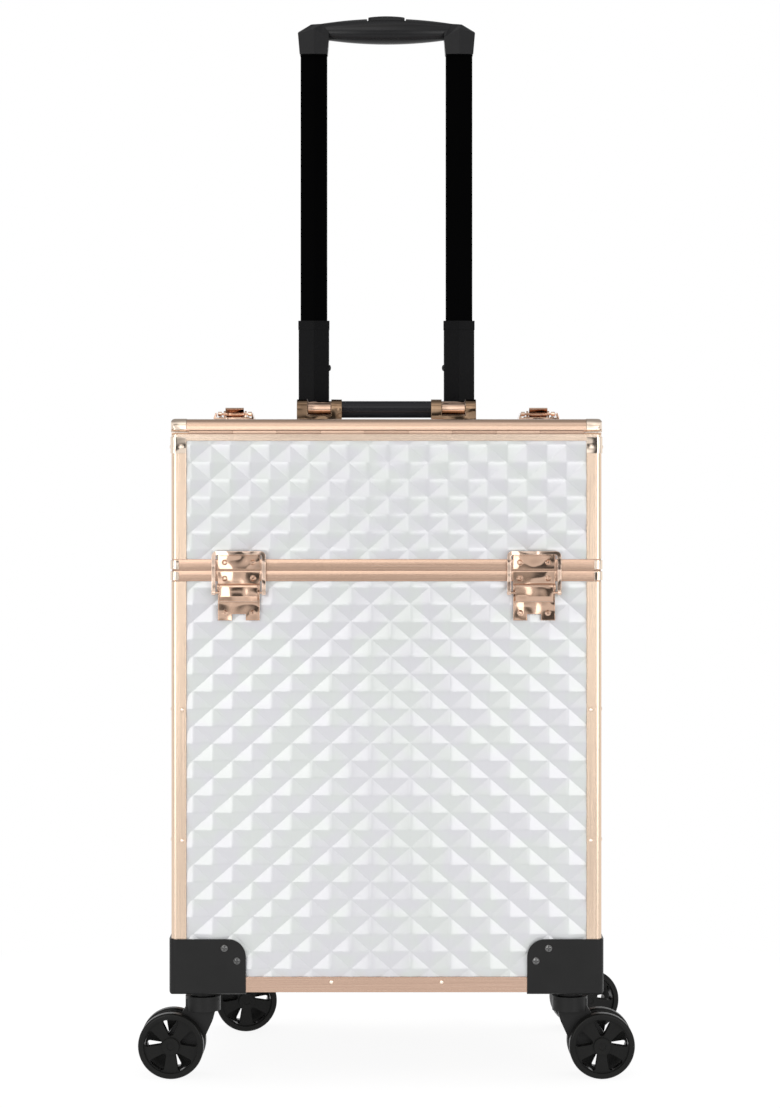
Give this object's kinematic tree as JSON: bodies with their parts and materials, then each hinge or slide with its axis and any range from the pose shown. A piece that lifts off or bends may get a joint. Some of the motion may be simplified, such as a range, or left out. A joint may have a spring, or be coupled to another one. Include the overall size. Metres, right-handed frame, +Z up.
{
  "type": "rolling makeup case",
  "caption": "Upright cosmetic case on twin-wheel casters: wheeled bin, lift-off upper case with split lids, draw latches, carry handle and telescopic pull handle.",
  "frame": {"origin": "on the floor under the middle of the overall box", "axes": "+Z up, -Y toward the latch side that the picture shows, +X to the right in the picture"},
  "size_m": [0.3957, 0.2946, 0.874],
  "materials": {
    "rose_gold_aluminium": "brushed rose-gold anodised extrusion",
    "rose_gold_steel": "polished rose-gold plated steel",
    "white_embossed_sheet": "pearl white embossed sheet",
    "lined_board": "fibreboard with black cloth lining",
    "black_plastic": "satin black moulding",
    "black_steel": "black zinc",
    "black_tube": "black anodised tube",
    "black_grip": "soft black bar",
    "black_wheel": "black nylon wheel"
  },
  "bodies": {
    "lower_case": {"lower_walls": "lined_board", "lower_skins": "white_embossed_sheet", "lower_bottom_rails": "rose_gold_aluminium", "lower_posts": "rose_gold_aluminium", "lower_rim_rails": "rose_gold_aluminium", "lower_rivets": "rose_gold_steel", "caster_brackets": "black_plastic", "bracket_screws": "black_steel", "caster_stems": "black_steel", "handle_outer_tubes": "black_tube", "handle_rear_mounts": "black_plastic", "latch_bases": "rose_gold_steel"},
    "upper_case": {"upper_walls": "lined_board", "upper_skins": "white_embossed_sheet", "upper_base_rails": "rose_gold_aluminium", "upper_posts": "rose_gold_aluminium", "upper_rim_rails": "rose_gold_aluminium", "upper_clips": "rose_gold_steel", "dividers": "lined_board", "latch_keepers": "rose_gold_steel", "lid_hinge_leaves": "rose_gold_steel", "lid_hinge_pins": "rose_gold_steel"},
    "front_lid": {"front_lid_board": "lined_board", "front_lid_skin": "white_embossed_sheet", "front_lid_frame": "rose_gold_aluminium", "front_lid_corners": "rose_gold_steel", "top_latch_bases": "rose_gold_steel"},
    "rear_lid": {"rear_lid_board": "lined_board", "rear_lid_skin": "white_embossed_sheet", "rear_lid_frame": "rose_gold_aluminium", "rear_lid_corners": "rose_gold_steel", "top_latch_keepers": "rose_gold_steel", "carry_mounts": "rose_gold_steel"},
    "carry_handle": {"carry_grip": "black_grip", "carry_ends": "rose_gold_steel"},
    "handle_middle": {"handle_mid_tubes": "black_tube"},
    "handle_upper": {"handle_inner_tubes": "black_tube", "handle_grip": "black_plastic"},
    "grip_button": {"handle_button": "black_plastic"},
    "front_left_lever": {"front_left_lever": "rose_gold_steel"},
    "front_left_loop": {"front_left_loop": "rose_gold_steel"},
    "rear_left_lever": {"rear_left_lever": "rose_gold_steel"},
    "rear_left_loop": {"rear_left_loop": "rose_gold_steel"},
    "top_left_lever": {"top_left_lever": "rose_gold_steel"},
    "top_left_loop": {"top_left_loop": "rose_gold_steel"},
    "front_right_lever": {"front_right_lever": "rose_gold_steel"},
    "front_right_loop": {"front_right_loop": "rose_gold_steel"},
    "rear_right_lever": {"rear_right_lever": "rose_gold_steel"},
    "rear_right_loop": {"rear_right_loop": "rose_gold_steel"},
    "top_right_lever": {"top_right_lever": "rose_gold_steel"},
    "top_right_loop": {"top_right_loop": "rose_gold_steel"},
    "swivel_front_left": {"fork_front_left": "black_plastic"},
    "wheels_front_left": {"wheels_front_left": "black_wheel"},
    "swivel_front_right": {"fork_front_right": "black_plastic"},
    "wheels_front_right": {"wheels_front_right": "black_wheel"},
    "swivel_rear_left": {"fork_rear_left": "black_plastic"},
    "wheels_rear_left": {"wheels_rear_left": "black_wheel"},
    "swivel_rear_right": {"fork_rear_right": "black_plastic"},
    "wheels_rear_right": {"wheels_rear_right": "black_wheel"}
  },
  "joints": [
    {"name": "upper_lift", "type": "slide", "parent": "lower_case", "child": "upper_case", "axis": [0, 0, 1], "range_m": [0, 0.15]},
    {"name": "front_lid_hinge", "type": "hinge", "parent": "upper_case", "child": "front_lid", "pos_m": [0, -0.1365, 0.51215], "axis": [1, 0, 0], "range_deg": [0, 100]},
    {"name": "rear_lid_hinge", "type": "hinge", "parent": "upper_case", "child": "rear_lid", "pos_m": [0, 0.1111, 0.51215], "axis": [-1, 0, 0], "range_deg": [0, 70]},
    {"name": "carry_handle_hinge", "type": "hinge", "parent": "rear_lid", "child": "carry_handle", "pos_m": [0, -0.0039, 0.5315], "axis": [-1, 0, 0], "range_deg": [-95, 0]},
    {"name": "front_left_lever_pivot", "type": "hinge", "parent": "lower_case", "child": "front_left_lever", "pos_m": [-0.1165, -0.1422, 0.39015], "axis": [-1, 0, 0], "range_deg": [0, 130]},
    {"name": "front_left_loop_pivot", "type": "hinge", "parent": "front_left_lever", "child": "front_left_loop", "pos_m": [-0.1165, -0.1422, 0.38565], "axis": [1, 0, 0], "range_deg": [0, 208]},
    {"name": "rear_left_lever_pivot", "type": "hinge", "parent": "lower_case", "child": "rear_left_lever", "pos_m": [-0.1165, 0.1168, 0.39015], "axis": [1, 0, 0], "range_deg": [0, 130]},
    {"name": "rear_left_loop_pivot", "type": "hinge", "parent": "rear_left_lever", "child": "rear_left_loop", "pos_m": [-0.1165, 0.1168, 0.38565], "axis": [-1, 0, 0], "range_deg": [0, 208]},
    {"name": "top_left_lever_pivot", "type": "hinge", "parent": "front_lid", "child": "top_left_lever", "pos_m": [-0.1245, -0.0257, 0.527], "axis": [-1, 0, 0], "range_deg": [0, 130]},
    {"name": "top_left_loop_pivot", "type": "hinge", "parent": "top_left_lever", "child": "top_left_loop", "pos_m": [-0.1245, -0.0302, 0.527], "axis": [1, 0, 0], "range_deg": [0, 208]},
    {"name": "front_right_lever_pivot", "type": "hinge", "parent": "lower_case", "child": "front_right_lever", "pos_m": [0.1165, -0.1422, 0.39015], "axis": [-1, 0, 0], "range_deg": [0, 130]},
    {"name": "front_right_loop_pivot", "type": "hinge", "parent": "front_right_lever", "child": "front_right_loop", "pos_m": [0.1165, -0.1422, 0.38565], "axis": [1, 0, 0], "range_deg": [0, 208]},
    {"name": "rear_right_lever_pivot", "type": "hinge", "parent": "lower_case", "child": "rear_right_lever", "pos_m": [0.1165, 0.1168, 0.39015], "axis": [1, 0, 0], "range_deg": [0, 130]},
    {"name": "rear_right_loop_pivot", "type": "hinge", "parent": "rear_right_lever", "child": "rear_right_loop", "pos_m": [0.1165, 0.1168, 0.38565], "axis": [-1, 0, 0], "range_deg": [0, 208]},
    {"name": "top_right_lever_pivot", "type": "hinge", "parent": "front_lid", "child": "top_right_lever", "pos_m": [0.1245, -0.0257, 0.527], "axis": [-1, 0, 0], "range_deg": [0, 130]},
    {"name": "top_right_loop_pivot", "type": "hinge", "parent": "top_right_lever", "child": "top_right_loop", "pos_m": [0.1245, -0.0302, 0.527], "axis": [1, 0, 0], "range_deg": [0, 208]},
    {"name": "handle_lower_stage", "type": "slide", "parent": "lower_case", "child": "handle_middle", "axis": [0, 0, 1], "range_m": [-0.215, 0]},
    {"name": "handle_upper_stage", "type": "slide", "parent": "handle_middle", "child": "handle_upper", "axis": [0, 0, 1], "range_m": [-0.215, 0]},
    {"name": "grip_button_press", "type": "slide", "parent": "handle_upper", "child": "grip_button", "axis": [0, 0, 1], "range_m": [-0.003, 0], "stiffness_N_per_m": 600, "springref_m": 0.001},
    {"name": "swivel_front_left_turn", "type": "hinge", "parent": "lower_case", "child": "swivel_front_left", "pos_m": [-0.146, -0.1147, 0.06], "axis": [0, 0, 1], "continuous": true},
    {"name": "wheels_front_left_roll", "type": "hinge", "parent": "swivel_front_left", "child": "wheels_front_left", "pos_m": [-0.1705, -0.11427, 0.026], "axis": [-0.0175, -0.9998, 0], "continuous": true},
    {"name": "swivel_front_right_turn", "type": "hinge", "parent": "lower_case", "child": "swivel_front_right", "pos_m": [0.146, -0.1147, 0.06], "axis": [0, 0, 1], "continuous": true},
    {"name": "wheels_front_right_roll", "type": "hinge", "parent": "swivel_front_right", "child": "wheels_front_right", "pos_m": [0.1705, -0.11427, 0.026], "axis": [-0.0175, 0.9998, 0], "continuous": true},
    {"name": "swivel_rear_left_turn", "type": "hinge", "parent": "lower_case", "child": "swivel_rear_left", "pos_m": [-0.146, 0.0893, 0.06], "axis": [0, 0, 1], "continuous": true},
    {"name": "wheels_rear_left_roll", "type": "hinge", "parent": "swivel_rear_left", "child": "wheels_rear_left", "pos_m": [-0.12174, 0.09271, 0.026], "axis": [-0.1392, 0.9903, 0], "continuous": true},
    {"name": "swivel_rear_right_turn", "type": "hinge", "parent": "lower_case", "child": "swivel_rear_right", "pos_m": [0.146, 0.0893, 0.06], "axis": [0, 0, 1], "continuous": true},
    {"name": "wheels_rear_right_roll", "type": "hinge", "parent": "swivel_rear_right", "child": "wheels_rear_right", "pos_m": [0.16977, 0.09523, 0.026], "axis": [-0.2419, 0.9703, 0], "continuous": true}
  ],
  "couplings": [
    {"joint": "rear_lid_hinge", "follows": "front_lid_hinge", "ratio": 0.7},
    {"joint": "front_left_loop_pivot", "follows": "front_left_lever_pivot", "ratio": 1.6},
    {"joint": "rear_left_loop_pivot", "follows": "rear_left_lever_pivot", "ratio": 1.6},
    {"joint": "top_left_loop_pivot", "follows": "top_left_lever_pivot", "ratio": 1.6},
    {"joint": "front_right_loop_pivot", "follows": "front_right_lever_pivot", "ratio": 1.6},
    {"joint": "rear_right_loop_pivot", "follows": "rear_right_lever_pivot", "ratio": 1.6},
    {"joint": "top_right_loop_pivot", "follows": "top_right_lever_pivot", "ratio": 1.6}
  ]
}
